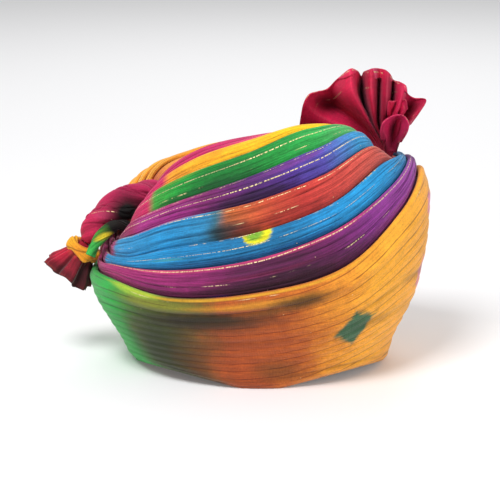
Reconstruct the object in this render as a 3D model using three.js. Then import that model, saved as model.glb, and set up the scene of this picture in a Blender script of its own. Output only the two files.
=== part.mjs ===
// A tied pagri: one long dyed cloth wound on the head. It has a deep head band, seven wraps that lap
// like shingles, a twisted roll over the back, a gathered tail and an upright pleated fan.
// Millimetres, +Z up. +X is the wearer's front, and -Y is the near side, where the wraps spread open.

import * as THREE from "three";

// Sizes of the hollow that the head goes into
const headLength = 198;
const headWidth = 162;
const crownDepth = 122; // from the rim up to the underside of the lining cap

// Outside sizes of the wound body, without tail and fan
const bodyLength = 292;
const bodyWidth = 232;
const bodyHeight = 214;

// Cloth thicknesses, each of several wound layers
const liningWall = 4.5; // lining cap
const bandWall = 6; // head band
const wrapWall = 3; // upper part of a wrap
const tuckWall = 2.2; // lower part of a wrap, tucked behind the fold below
const clearance = 1; // between one wound layer and the next
const rimGap = 0.6; // between the lining cap and the head band at the rim
const coreGap = 1.5; // between the lining cap and the wound core
const corePad = 4.3; // from the tucked edges in to the wound core, as the cloth curves in between
const rimArch = 8; // how far the rim lifts between the four places it rests on
const footFlare = 4.7; // how far the head band's foot stands out beyond the rim at front and sides
const napeFlare = 11; // and at the back
const bandLip = 3.6; // how far the head band's upper fold stands off the first wrap
const rimTaper = 0.5; // share of the band's wall that the rim's outer edge is drawn in

// Twisted roll, strand, knot and tail at the back
const rollRadius = 15;
const rollTwist = 260; // degrees of twist from end to end
const strandRadius = 6.2;
const knotRadius = 11.5; // of the middle line of the binding round the tail's neck
const knotThickness = 5.4;
const tailLength = 27;
const tailNeckRadius = 7.4;
const tailEndRadius = 24;
const tailWall = 2.4;
const tailPleats = 7;

// Fan
const fanRadius = 74;
const fanDepth = 34; // from the fold nearest the viewer to the fold furthest away
const fanNeckRadius = 9;
const fanStemRadius = 5.5;
const fanWall = 2.2;

const degrees = Math.PI / 180;
const aroundSteps = 44; // sections round the head
const v3 = (x, y, z) => new THREE.Vector3(x, y, z);

// A place given as shares of half the body's length, half its width and its height.
const onBody = (along, across, up) => v3((along * bodyLength) / 2, (across * bodyWidth) / 2, up * bodyHeight);

// Rings are the lines that run once round the head. The rim and the foot stand round the head opening, and
// the rest are in this table. The first two shape the head band, and the folds are the upper edges of the
// head band and of the seven wraps, in order from the rim up and over into the hollow of the crown. back
// and front are shares of half the body's length, and half is a share of half its width. The rest are
// heights, as shares of the body's height, every 30 degrees round the head.
const ringColumns = [
  "back", "front", "half",
  "atFront", "farBrow", "farTemple", "farSide", "farRear", "farNape",
  "atBack", "nearNape", "nearRear", "nearSide", "nearTemple", "nearBrow",
];
const footHeights = [0.11, 0.11, 0.1, 0.1, 0.1, 0.11, 0.11, 0.11, 0.1, 0.1, 0.1, 0.11];
const ringTable = {
  belly: [0.93, 0.915, 0.94, 0.31, 0.3, 0.25, 0.24, 0.23, 0.23, 0.23, 0.23, 0.23, 0.24, 0.25, 0.3],
  shoulder: [0.975, 0.975, 1, 0.57, 0.52, 0.39, 0.34, 0.31, 0.31, 0.31, 0.31, 0.31, 0.34, 0.39, 0.52],
  fold1: [0.955, 0.92, 1, 0.765, 0.665, 0.485, 0.41, 0.375, 0.375, 0.365, 0.385, 0.37, 0.41, 0.485, 0.66],
  fold2: [0.935, 0.855, 0.965, 0.82, 0.745, 0.63, 0.55, 0.53, 0.55, 0.42, 0.45, 0.48, 0.54, 0.635, 0.76],
  fold3: [0.895, 0.79, 0.895, 0.825, 0.785, 0.71, 0.635, 0.61, 0.63, 0.47, 0.475, 0.56, 0.63, 0.72, 0.84],
  fold4: [0.85, 0.725, 0.8, 0.77, 0.8, 0.77, 0.715, 0.68, 0.68, 0.5, 0.55, 0.66, 0.735, 0.825, 0.905],
  fold5: [0.805, 0.66, 0.69, 0.7, 0.8, 0.82, 0.775, 0.73, 0.705, 0.5, 0.61, 0.72, 0.82, 0.915, 0.95],
  fold6: [0.76, 0.61, 0.545, 0.655, 0.78, 0.85, 0.82, 0.78, 0.72, 0.485, 0.67, 0.8, 0.895, 0.98, 0.945],
  fold7: [0.71, 0.565, 0.43, 0.63, 0.755, 0.84, 0.84, 0.8, 0.72, 0.465, 0.7, 0.845, 0.93, 0.98, 0.91],
  fold8: [0.66, 0.525, 0.31, 0.61, 0.72, 0.8, 0.83, 0.79, 0.69, 0.445, 0.73, 0.87, 0.93, 0.93, 0.84],
};

// A cubic through p1 and p2 at t from 0 to 1, with p0 and p3 as the neighbours.
const cubic = (p0, p1, p2, p3, t) =>
  p1 + 0.5 * t * (p2 - p0 + t * (2 * p0 - 5 * p1 + 4 * p2 - p3 + t * (3 * (p1 - p2) + p3 - p0)));

// The height of a ring at any angle, from 0 at the front round by the far side.
function heightsRound(shares) {
  const heights = shares.map((share) => share * bodyHeight);
  const stations = heights.length;
  return (angle) => {
    const turn = (angle / (2 * Math.PI)) * stations + 2 * stations;
    const at = (k) => heights[(Math.floor(turn) + k) % stations];
    return cubic(at(-1), at(0), at(1), at(2), turn % 1);
  };
}

// A ring as a plan ellipse and its heights.
function bodyRing(row) {
  const ring = Object.fromEntries(ringColumns.map((column, i) => [column, row[i]]));
  return {
    middle: ((ring.front - ring.back) / 4) * bodyLength,
    reach: ((ring.front + ring.back) / 4) * bodyLength,
    half: (ring.half * bodyWidth) / 2,
    heightAt: heightsRound(row.slice(3)),
  };
}

// The rim rests on the floor at front, back and both sides, and arches up a little in between.
function rimHeight(angle) {
  const flatShare = 0.3;
  return (rimArch * Math.max(0, Math.abs(Math.sin(2 * angle)) - flatShare)) / (1 - flatShare);
}

const rimWall = liningWall + rimGap + bandWall;
function headRing(flare, backFlare, heightAt) {
  const reach = headLength / 2 + rimWall + (flare + backFlare) / 2;
  return { middle: (flare - backFlare) / 2, reach, half: headWidth / 2 + rimWall + flare, heightAt };
}
const rings = [
  headRing(0, 0, rimHeight),
  headRing(footFlare, napeFlare, heightsRound(footHeights)),
  ...Object.values(ringTable).map(bodyRing),
];
const firstFold = Object.keys(ringTable).indexOf("fold1") + 2;
const lastFold = rings.length - 1;

// The guide surface that all the wound cloth lies on. level counts the rings and is smooth between them.
function guidePoint(angle, level) {
  const below = Math.min(Math.max(Math.floor(level), 0), lastFold - 1);
  const [p0, p1, p2, p3] = [-1, 0, 1, 2].map((k) => {
    const ring = rings[Math.min(Math.max(below + k, 0), lastFold)];
    return [ring.middle + ring.reach * Math.cos(angle), ring.half * Math.sin(angle), ring.heightAt(angle)];
  });
  return v3(...[0, 1, 2].map((axis) => cubic(p0[axis], p1[axis], p2[axis], p3[axis], level - below)));
}

// A point at a height above the guide surface, or inside it where offset is negative.
function onGuide(angle, level, offset) {
  const small = 0.01;
  const up = guidePoint(angle, Math.min(level + small, lastFold));
  up.sub(guidePoint(angle, Math.max(level - small, 0)));
  const round = guidePoint(angle + small, level).sub(guidePoint(angle - small, level));
  return guidePoint(angle, level).addScaledVector(round.cross(up).normalize(), offset);
}

// A closed solid from rows that are each a closed loop of points. The rows join up into a ring when ringed
// is true. Otherwise each end is closed by strips across its loop.
function solidFromRows(rows, ringed) {
  const width = rows[0].length;
  const points = rows.flat();
  const index = [];
  // Each four-sided face is split across its shorter diagonal.
  const quad = (a, b, c, d) => {
    const shortWay = points[a].distanceTo(points[c]) <= points[b].distanceTo(points[d]);
    index.push(...(shortWay ? [a, b, c, a, c, d] : [a, b, d, b, c, d]));
  };
  const joins = ringed ? rows.length : rows.length - 1;
  for (let i = 0; i < joins; i++) {
    const here = i * width;
    const next = ((i + 1) % rows.length) * width;
    for (let j = 0; j < width; j++) {
      const k = (j + 1) % width;
      quad(here + j, next + j, next + k, here + k);
    }
  }
  if (!ringed) {
    const last = (rows.length - 1) * width;
    for (let j = 0; j < width / 2 - 1; j++) {
      quad(j, j + 1, width - 2 - j, width - 1 - j);
      quad(last + j, last + width - 1 - j, last + width - 2 - j, last + j + 1);
    }
  }
  const geometry = new THREE.BufferGeometry().setFromPoints(points);
  geometry.setIndex(facingOut(geometry.getAttribute("position"), index));
  geometry.computeVertexNormals();
  return geometry;
}

// The triangles turned round, if their faces would point inwards.
function facingOut(position, index) {
  const corner = [v3(), v3(), v3()];
  let volume = 0;
  for (let i = 0; i < index.length; i += 3) {
    corner.forEach((c, n) => c.fromBufferAttribute(position, index[i + n]));
    volume += corner[0].dot(corner[1].cross(corner[2]));
  }
  return volume < 0 ? index.reverse() : index;
}

const everyAngle = Array.from({ length: aroundSteps }, (_, step) => (2 * Math.PI * step) / aroundSteps);

// Lining cap: a rounded cap whose inside is the hollow for the head.
const capSteepness = 2.5; // 2 is an ellipse, and more is squarer at the crown
function capPoint(angle, rise, offset) {
  const plan = Math.cos(rise) ** (2 / capSteepness);
  const z = (crownDepth + offset) * Math.sin(rise) ** (2 / capSteepness);
  const x = (headLength / 2 + offset) * plan * Math.cos(angle);
  const y = (headWidth / 2 + offset) * plan * Math.sin(angle);
  return v3(x, y, Math.max(z, rimHeight(angle)));
}
function liningCap() {
  const rises = [0, 0.12, 0.36, 0.62, 0.9, 1.18, 1.42];
  const loop = (rise, offset) => everyAngle.map((angle) => capPoint(angle, rise, offset));
  const inside = rises.map((rise) => loop(rise, 0)).reverse();
  const outside = rises.map((rise) => loop(rise, liningWall));
  return solidFromRows([...inside, ...outside], false);
}

// Head band: from the rim up to the first fold, with its upper edge standing off the first wrap.
function headBand() {
  const outside = [0, 0.5, 1, 1.7, 2.4, 3, 3.5, firstFold - 0.06];
  const inside = [3.5, 2.6, 1.7, 1];
  const lipAt = (level) => bandLip * THREE.MathUtils.smoothstep(level, 3, 3.6);
  const rows = everyAngle.map((angle) => {
    const rimInside = capPoint(angle, 0, liningWall + rimGap);
    const outer = outside.map((level) => onGuide(angle, level, lipAt(level)));
    outer[0].copy(guidePoint(angle, 0)).lerp(rimInside, rimTaper);
    const top = onGuide(angle, firstFold, bandLip - bandWall / 2);
    const inner = inside.map((level) => onGuide(angle, level, lipAt(level) - bandWall));
    return [...outer, top, ...inner, rimInside];
  });
  return solidFromRows(rows, true);
}

// A wrap between two folds. Its lower part is tucked behind the fold below, and it leans out to its own
// upper fold, so the wraps lap like shingles. share is 0 at the fold below and 1 at the wrap's own fold.
const stepOut = wrapWall + clearance;
const tuckShare = 0.28;
const leanAt = (share) => (share < 0 ? -stepOut - clearance : -stepOut * (1 - share) ** 1.7);
const coreDepth = stepOut + tuckWall + corePad;
function sideWrap(number) {
  const base = firstFold + number - 1;
  const rows = everyAngle.map((angle) => [
    ...[-tuckShare, 0.04, 0.35, 0.72, 0.97].map((share) => onGuide(angle, base + share, leanAt(share))),
    onGuide(angle, base + 1, -wrapWall * 0.85),
    onGuide(angle, base + 0.55, leanAt(0.55) - wrapWall),
    onGuide(angle, base - tuckShare, leanAt(-tuckShare) - tuckWall),
  ]);
  return solidFromRows(rows, true);
}

// Wound core: the layers under the head band and the wraps, open in the middle down to the lining cap. The
// wall of the opening comes straight down on the cap, or leans in to it where the opening is the longer one.
const coreFootRise = 0.12;
const landingRise = 0.25; // the lowest place on the cap that the wall lands on
function woundCore() {
  const rows = everyAngle.map((angle) => {
    const underBand = [1, 1.7, 2.6, 3.3].map((level) => onGuide(angle, level, -bandWall - clearance));
    const underWraps = [4, 5, 6, 7, 8, 9, 10, lastFold].map((level) => onGuide(angle, level, -coreDepth));
    const top = underWraps.at(-1);
    const offset = liningWall + coreGap;
    const plan = Math.hypot(top.x / (headLength / 2 + offset), top.y / (headWidth / 2 + offset));
    const topRise = Math.max(Math.acos(Math.min(plan, 1) ** (capSteepness / 2)), landingRise);
    const riseAt = (share) => THREE.MathUtils.lerp(topRise, coreFootRise, share);
    const overCap = [0, 0.2, 0.4, 0.6, 0.8, 1].map((share) => capPoint(angle, riseAt(share), offset));
    return [...underBand, ...underWraps, ...overCap];
  });
  return solidFromRows(rows, true);
}

// A round body along a path. Each path row gives a place on the body and a radius. flutes and twist shape
// the section.
function roundBody(path, sides, steps, flutes, fluteDepth, twist) {
  const line = new THREE.CatmullRomCurve3(path.map((row) => onBody(row[0], row[1], row[2])));
  const radii = path.map((row) => row[3]);
  const rows = [];
  for (let i = 0; i <= steps; i++) {
    const t = i / steps;
    const along = line.getTangent(t);
    const side = v3(0, 1, 0).cross(along).normalize();
    const over = along.clone().cross(side);
    const s = t * (radii.length - 1);
    const k = Math.min(Math.floor(s), radii.length - 2);
    const radius = THREE.MathUtils.lerp(radii[k], radii[k + 1], s - k);
    const row = [];
    for (let j = 0; j < sides; j++) {
      const a = (2 * Math.PI * j) / sides;
      const r = radius * (1 - fluteDepth * (0.5 - 0.5 * Math.cos(flutes * a)));
      const turned = a + twist * t;
      const p = line.getPoint(t).addScaledVector(side, r * Math.cos(turned));
      row.push(p.addScaledVector(over, r * Math.sin(turned)));
    }
    rows.push(row);
  }
  return solidFromRows(rows, false);
}

// Twisted roll: comes up out of the hollow, lies on the far slope and goes over the back to the knot.
const rollPath = [
  [-0.548, 0, 0.66, rollRadius * 0.75],
  [-0.6645, 0, 0.66, rollRadius * 0.95],
  [-0.781, 0.0172, 0.622, rollRadius],
  [-0.8905, 0.0086, 0.5725, rollRadius * 0.95],
  [-0.966, 0, 0.5187, rollRadius * 0.7],
  [-0.9965, 0, 0.4795, rollRadius * 0.4],
];

// Twisted strand: the end of the head band's cloth, turned up over the back into the hollow.
const strandPath = [
  [-0.726, -0.0862, 0.5585, strandRadius * 0.6],
  [-0.781, -0.138, 0.5715, strandRadius],
  [-0.8355, -0.1725, 0.5785, strandRadius],
  [-0.8975, -0.181, 0.5467, strandRadius],
  [-0.945, -0.181, 0.4953, strandRadius],
  [-0.966, -0.224, 0.444, strandRadius * 0.7],
];

// Tail: gathered at the neck and flaring to an open pleated end.
const tailNeck = onBody(-1.017, 0, 0.4486);
const tailAxis = v3(-0.58, 0, -0.81).normalize();
const tailSide = v3(0, 1, 0);
const tailOver = tailAxis.clone().cross(tailSide);
function tailLoop(share, inset) {
  const radius = THREE.MathUtils.lerp(tailNeckRadius, tailEndRadius, Math.max(0, share) ** 1.6) - inset;
  const pleatDepth = 0.3 * THREE.MathUtils.smoothstep(share, 0.05, 0.8);
  const sides = tailPleats * 4;
  return Array.from({ length: sides }, (_, j) => {
    const a = (2 * Math.PI * j) / sides;
    const r = radius * (1 - pleatDepth * (0.5 - 0.5 * Math.cos(tailPleats * a)));
    const p = tailNeck.clone().addScaledVector(tailAxis, tailLength * share);
    return p.addScaledVector(tailSide, r * 0.85 * Math.cos(a)).addScaledVector(tailOver, r * Math.sin(a));
  });
}
function tailBody() {
  const outer = [-0.1, 0.15, 0.45, 0.75, 1].map((share) => tailLoop(share, 0));
  const inner = [1, 0.7, 0.4].map((share) => tailLoop(share, tailWall));
  return solidFromRows([...outer, ...inner], false);
}

// Knot: the cloth bound once round the tail's neck.
function knotBody() {
  const turns = 20;
  const sides = 8;
  const rows = Array.from({ length: turns }, (_, i) => {
    const a = (2 * Math.PI * i) / turns;
    const out = tailSide.clone().multiplyScalar(Math.cos(a)).addScaledVector(tailOver, Math.sin(a));
    return Array.from({ length: sides }, (_, j) => {
      const b = (2 * Math.PI * j) / sides;
      const thick = (knotThickness / 2) * (1 + 0.12 * Math.cos(5 * a));
      const p = tailNeck.clone().addScaledVector(out, knotRadius + thick * Math.cos(b));
      return p.addScaledVector(tailAxis, thick * 1.5 * Math.sin(b) + 0.1 * tailLength);
    });
  });
  return solidFromRows(rows, true);
}

// Fan folds from the back of the head to the front: the angle up from the front, the reach as a share of
// the fan's radius, and how far the fold stands out to the near side as a share of the fan's depth.
const fanFolds = [
  [171, 0.86, 0.2], [164, 0.92, -0.25], [157, 0.96, 0.4], [151, 1.0, -0.15], [145, 1.02, 0.5],
  [139, 0.97, -0.3], [133, 0.96, 0.35], [127, 0.97, -0.45], [121, 0.99, 0.3], [115, 1.0, -0.5],
  [109, 0.99, 0.35], [104, 0.94, -0.5], [99, 0.94, 0.45], [94, 0.93, -0.4], [89, 0.93, 0.5],
  [84, 0.84, -0.35], [79, 0.83, 0.5], [73, 0.78, -0.4], [67, 0.77, 0.45], [61, 0.68, -0.4],
  [55, 0.74, 0.4], [50, 0.74, -0.35], [45, 0.54, 0.3], [39, 0.34, -0.1],
];
const fanNeck = onBody(0.685, 0, 0.8458);
const fanFoot = onBody(0.6405, 0, 0.7453);
function fanBody() {
  const shares = [0.36, 0.58, 0.8, 1]; // of the way out along a fold
  const middle = (fanFolds.length - 1) / 2;
  const rows = fanFolds.map(([angle, reach, lean], i) => {
    const across = (i - middle) / middle;
    const out = v3(Math.cos(angle * degrees), 0, Math.sin(angle * degrees));
    const before = fanFolds[Math.max(i - 1, 0)];
    const after = fanFolds[Math.min(i + 1, fanFolds.length - 1)];
    const places = [
      [fanFoot.clone().add(v3(across * fanStemRadius, 0, 0)), fanStemRadius],
      [fanNeck.clone().add(v3(across * fanNeckRadius, 0, 0)), fanNeckRadius * 0.8],
    ];
    for (const share of shares) {
      const radius = reach * fanRadius * share;
      const p = fanNeck.clone().addScaledVector(out, radius);
      p.y = -lean * fanDepth * share;
      const pitch = ((before[0] - after[0]) * degrees * radius) / 2;
      const rise = (Math.abs(lean - before[2]) + Math.abs(lean - after[2])) / 2 * fanDepth * share;
      places.push([p, (fanWall / 2) * Math.hypot(1, rise / pitch)]);
    }
    const near = places.map(([p, thick]) => v3(p.x, p.y - thick, p.z));
    const far = places.map(([p, thick]) => v3(p.x, p.y + thick, p.z)).reverse();
    return [...near, ...far];
  });
  return solidFromRows(rows, false);
}

const solids = [
  ["lining_cap", 0xb58a5a, liningCap()],
  ["head_band", 0xd98a2b, headBand()],
  ["wound_core", 0x6d2440, woundCore()],
  ["wrap_purple", 0x7a2a78, sideWrap(1)],
  ["wrap_blue", 0x1f8fc9, sideWrap(2)],
  ["wrap_coral", 0xc9443e, sideWrap(3)],
  ["wrap_violet", 0x54307c, sideWrap(4)],
  ["wrap_green", 0x1f8f3c, sideWrap(5)],
  ["wrap_marigold", 0xf0a71f, sideWrap(6)],
  ["wrap_magenta", 0xc42a63, sideWrap(7)],
  ["back_roll", 0xa3204f, roundBody(rollPath, 12, 14, 3, 0.3, rollTwist * degrees)],
  ["back_strand", 0x7f9c2c, roundBody(strandPath, 8, 12, 2, 0.3, rollTwist * degrees)],
  ["knot", 0xe0902a, knotBody()],
  ["tail", 0xa01f3d, tailBody()],
  ["fan", 0xb02345, fanBody()],
];

const pagri = new THREE.Group();
for (const [name, color, geometry] of solids) {
  const mesh = new THREE.Mesh(geometry, new THREE.MeshStandardMaterial({ color, roughness: 0.8, metalness: 0 }));
  mesh.name = name;
  pagri.add(mesh);
}

// The origin is the middle of the whole part, at the height of the floor it rests on.
const box = new THREE.Box3().setFromObject(pagri);
const centre = box.getCenter(v3());
pagri.children.forEach((mesh) => mesh.geometry.translate(-centre.x, -centre.y, -box.min.z));

export default pagri;
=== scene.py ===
# %% [markdown]
# # A tied pagri
# This lesson dresses a ready-tied turban in Blender. The plain solids come in first as a fixed frame, and
# then each one is replaced by finer cloth that lies in the same place. Cloth like this could be simulated,
# but a wound turban is already pulled tight by hand, so its shape is built directly: rings round the head,
# a smooth surface through them, and wraps that lap on that surface like shingles.

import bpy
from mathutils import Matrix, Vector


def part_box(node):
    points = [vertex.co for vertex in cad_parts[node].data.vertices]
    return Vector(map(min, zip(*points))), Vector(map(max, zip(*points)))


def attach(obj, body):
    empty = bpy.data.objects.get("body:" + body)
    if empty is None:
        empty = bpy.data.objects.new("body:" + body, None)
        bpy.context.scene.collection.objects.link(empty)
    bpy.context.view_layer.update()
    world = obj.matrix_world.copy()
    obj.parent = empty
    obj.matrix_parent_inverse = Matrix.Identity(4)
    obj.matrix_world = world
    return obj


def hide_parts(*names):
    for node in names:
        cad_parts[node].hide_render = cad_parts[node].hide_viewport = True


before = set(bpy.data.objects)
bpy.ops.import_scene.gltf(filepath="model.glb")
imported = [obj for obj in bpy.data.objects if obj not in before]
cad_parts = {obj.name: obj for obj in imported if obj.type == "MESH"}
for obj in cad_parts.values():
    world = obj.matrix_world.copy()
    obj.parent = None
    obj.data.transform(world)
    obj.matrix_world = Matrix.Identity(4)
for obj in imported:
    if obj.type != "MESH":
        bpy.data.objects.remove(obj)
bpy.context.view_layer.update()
print("nodes:", len(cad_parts))

# %% Modules and units
import math

import bpy
import numpy as np

MM = 0.001
TAU = 2 * math.pi

# %% [markdown]
# ## Camera
# The camera comes first, because it decides how large every detail will look. It looks along the side of
# the head from slightly above. A long lens from far away keeps the rings from spreading out of shape. The
# colours of dyed cotton are strong, so the plain Standard view is used: it doesn't soften bright colours.

# %% Camera
cap_low, cap_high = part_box("lining_cap")
head_x = (cap_low[0] + cap_high[0]) / 2  # the middle of the head opening
camera_rise = math.radians(15)
camera_distance = 1.6
camera_aim = (head_x - 0.0085, 0.0, 0.0935)
photo_width = 0.425  # metres across the picture at that distance
film_width = 36  # millimetres

camera_data = bpy.data.cameras.new("camera")
camera_data.sensor_width = film_width
camera_data.lens = film_width * camera_distance / photo_width
camera = bpy.data.objects.new("camera", camera_data)
camera.location = (
    camera_aim[0],
    camera_aim[1] - camera_distance * math.cos(camera_rise),
    camera_aim[2] + camera_distance * math.sin(camera_rise),
)
camera.rotation_euler = (math.pi / 2 - camera_rise, 0, 0)
bpy.context.collection.objects.link(camera)
bpy.context.scene.camera = camera
bpy.context.scene.view_settings.view_transform = "Standard"
print("lens in mm:", round(camera_data.lens, 1))

# %% [markdown]
# ## The guide surface
# All the wound cloth follows one smooth surface. Its rings are the edges that run once round the head, from
# the rim up and over into the hollow of the crown. Each ring is a plan ellipse with twelve heights. The
# first four shape the head band, and the other eight are the upper folds of the band and of the wraps.

# %% Sizes in millimetres
head_length, head_width, crown_depth = 198, 162, 122
body_length, body_width, body_height = 292, 232, 214
lining_wall, band_wall, wrap_wall, tuck_wall = 4.5, 6, 3, 2.2
rim_gap, core_gap, clearance, core_pad = 0.6, 1.5, 1, 4.3
rim_arch, band_lip, foot_flare, nape_flare, rim_taper = 8, 3.6, 4.7, 11, 0.5
rim_wall = lining_wall + rim_gap + band_wall
step_out = wrap_wall + clearance
core_depth = step_out + tuck_wall + core_pad

# %% Ring table: back, front, half width, then heights every 30 degrees from the front by the far side
foot_heights = [0.11, 0.11, 0.1, 0.1, 0.1, 0.11, 0.11, 0.11, 0.1, 0.1, 0.1, 0.11]
ring_table = {
    "belly": [0.93, 0.915, 0.94, 0.31, 0.3, 0.25, 0.24, 0.23, 0.23, 0.23, 0.23, 0.23, 0.24, 0.25, 0.3],
    "shoulder": [0.975, 0.975, 1, 0.57, 0.52, 0.39, 0.34, 0.31, 0.31, 0.31, 0.31, 0.31, 0.34, 0.39, 0.52],
    "fold1": [0.955, 0.92, 1, 0.765, 0.665, 0.485, 0.41, 0.375, 0.375, 0.365, 0.385, 0.37, 0.41, 0.485, 0.66],
    "fold2": [0.935, 0.855, 0.965, 0.82, 0.745, 0.63, 0.55, 0.53, 0.55, 0.42, 0.45, 0.48, 0.54, 0.635, 0.76],
    "fold3": [0.895, 0.79, 0.895, 0.825, 0.785, 0.71, 0.635, 0.61, 0.63, 0.47, 0.475, 0.56, 0.63, 0.72, 0.84],
    "fold4": [0.85, 0.725, 0.8, 0.77, 0.8, 0.77, 0.715, 0.68, 0.68, 0.5, 0.55, 0.66, 0.735, 0.825, 0.905],
    "fold5": [0.805, 0.66, 0.69, 0.7, 0.8, 0.82, 0.775, 0.73, 0.705, 0.5, 0.61, 0.72, 0.82, 0.915, 0.95],
    "fold6": [0.76, 0.61, 0.545, 0.655, 0.78, 0.85, 0.82, 0.78, 0.72, 0.485, 0.67, 0.8, 0.895, 0.98, 0.945],
    "fold7": [0.71, 0.565, 0.43, 0.63, 0.755, 0.84, 0.84, 0.8, 0.72, 0.465, 0.7, 0.845, 0.93, 0.98, 0.91],
    "fold8": [0.66, 0.525, 0.31, 0.61, 0.72, 0.8, 0.83, 0.79, 0.69, 0.445, 0.73, 0.87, 0.93, 0.93, 0.84],
}
first_fold, last_fold = 4, 11
table = np.array(list(ring_table.values()))


def head_ring(flare, back_flare):
    reach = head_length / 2 + rim_wall + (flare + back_flare) / 2
    return [(flare - back_flare) / 2, reach, head_width / 2 + rim_wall + flare]


body_rings = np.column_stack(
    [
        (table[:, 1] - table[:, 0]) * body_length / 4,
        (table[:, 1] + table[:, 0]) * body_length / 4,
        table[:, 2] * body_width / 2,
    ]
)
ring_plan = np.vstack([head_ring(0, 0), head_ring(foot_flare, nape_flare), body_rings])
ring_heights = np.vstack([np.zeros(12), foot_heights, table[:, 3:]]) * body_height
print("rings:", len(ring_plan))


# %% The smooth surface through the rings
def cubic(p0, p1, p2, p3, t):
    """A smooth curve through four points, from the second to the third as t goes from 0 to 1."""
    return p1 + 0.5 * t * (p2 - p0 + t * (2 * p0 - 5 * p1 + 4 * p2 - p3 + t * (3 * (p1 - p2) + p3 - p0)))


def rim_height(angle):
    return rim_arch * np.clip(np.abs(np.sin(2 * angle)) - 0.3, 0, 1) / 0.7


def ring_point(ring, angle):
    turn = np.mod(angle / TAU * 12, 12)
    station = np.floor(turn).astype(int)
    near = [ring_heights[ring, (station + k) % 12] for k in (-1, 0, 1, 2)]
    height = np.where(ring == 0, rim_height(angle), cubic(*near, turn - station))
    middle, reach, half = (ring_plan[ring, k] for k in range(3))
    return np.stack([middle + reach * np.cos(angle), half * np.sin(angle), height], axis=-1)


def guide(angle, level):
    below = np.clip(np.floor(level), 0, last_fold - 1).astype(int)
    rows = [ring_point(np.clip(below + k, 0, last_fold), angle) for k in (-1, 0, 1, 2)]
    return cubic(*rows, (level - below)[..., None])


def on_guide(angle, level, offset):
    """Points in millimetres, offset outwards from the guide surface."""
    angle, level, offset = np.broadcast_arrays(angle, level, offset)
    small = 0.01
    up = guide(angle, np.minimum(level + small, last_fold)) - guide(angle, np.maximum(level - small, 0))
    across = guide(angle + small, level) - guide(angle - small, level)
    normal = np.cross(across, up)
    normal /= np.linalg.norm(normal, axis=-1, keepdims=True)
    return guide(angle, level) + normal * offset[..., None]


# %% [markdown]
# ## Making cloth meshes
# Every piece here is a grid of points: rows along the cloth, and a closed loop of points across it. One
# helper turns such a grid into a mesh with two sets of texture coordinates. The first, named dye, says how
# far along and across the cloth a point is, from 0 to 1. The second, named weave, is in metres, so threads
# keep one size everywhere. Two marks on the points say how much painted shade each point gets, most of all
# deep in a crease, and how far down the wound layers it is.


# %% Grid to mesh
def run_lengths(points, axis):
    """How far each row or column lies along the grid in metres, as a mean over the other axis."""
    steps = np.linalg.norm(np.diff(points, axis=axis), axis=-1).mean(axis=1 - axis)
    return np.concatenate([[0], np.cumsum(steps)]) * MM


def cloth_mesh(name, points, ringed, closed=True, across=None, crease=None, layer=None):
    """points has rows, columns and x, y, z in millimetres. A ringed grid joins its last row to its first,
    and a closed one its last column. across says how far across the cloth each column lies."""
    points = np.asarray(points, dtype=float)
    rows, columns = points.shape[:2]
    row_steps = rows if ringed else rows - 1
    column_steps = columns if closed else columns - 1
    i, j = np.meshgrid(np.arange(row_steps), np.arange(column_steps), indexing="ij")
    i, j = i.ravel(), j.ravel()
    corners = [(i, j), (i + 1, j), (i + 1, j + 1), (i, j + 1)]
    faces = np.stack([(a % rows) * columns + b % columns for a, b in corners], axis=1)
    flat = points.reshape(-1, 3)
    lids = []
    if closed:
        a, b, c = (flat[faces[:, k]] for k in (0, 1, 2))
        if np.einsum("ij,ij->i", a, np.cross(b, c)).sum() < 0:
            faces = faces[:, ::-1]
            corners = corners[::-1]
        if not ringed:
            lids = [list(range(columns)), list(range((rows - 1) * columns, rows * columns))]
    mesh = bpy.data.meshes.new(name)
    placed = flat * MM + np.array([head_x, 0, 0])
    mesh.from_pydata(placed.tolist(), [], faces.tolist() + lids)
    looped = np.concatenate([points, points[:1]], axis=0) if ringed else points
    turned = np.concatenate([points, points[:, :1]], axis=1) if closed else points
    along = np.linspace(0, 1, row_steps + 1)
    if across is None:
        across = np.linspace(0, 1, column_steps + 1)
    places = {"dye": (along, across), "weave": (run_lengths(looped, 0), run_lengths(turned, 1))}
    lid_values = np.zeros((sum(map(len, lids)), 2))
    for map_name, (rise, run) in places.items():
        values = np.stack([np.stack([rise[a], run[b]], axis=-1) for a, b in corners], axis=1)
        values = np.concatenate([values.reshape(-1, 2), lid_values])
        mesh.uv_layers.new(name=map_name).data.foreach_set("uv", values.ravel())
    for mark, grid in {"crease": crease, "layer": layer}.items():
        values = np.zeros(points.shape[:2]) if grid is None else grid
        made = mesh.attributes.new(name=mark, type="FLOAT", domain="POINT")
        made.data.foreach_set("value", values.ravel())
    mesh.shade_smooth()
    mesh.validate()
    return mesh


def add_piece(name, mesh, node, material):
    piece = bpy.data.objects.new(name, mesh)
    bpy.context.collection.objects.link(piece)
    mesh.materials.append(material)
    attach(piece, "root")
    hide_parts(node)
    print(name, "faces:", len(mesh.polygons))
    return piece


# %% [markdown]
# ## Pleats and creases
# A pulled bundle of cloth is made of long rounded pleats with sharp valleys between them, and it has finer
# creases on top. The valleys wander and come and go along the cloth. Each one is drawn with a seeded
# generator, so the file always gives the same cloth.


# %% Wandering lines
def wander(turns, seed, smooth=7):
    """A smooth random wave along the cloth, about -1 to 1, that joins up with itself after one turn."""
    rng = np.random.default_rng(seed)
    wave = np.zeros_like(turns)
    for k in range(1, smooth + 1):
        wave += rng.normal() / k**0.7 * np.sin(TAU * k * turns + rng.uniform(0, TAU))
    return wave / 1.6


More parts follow.
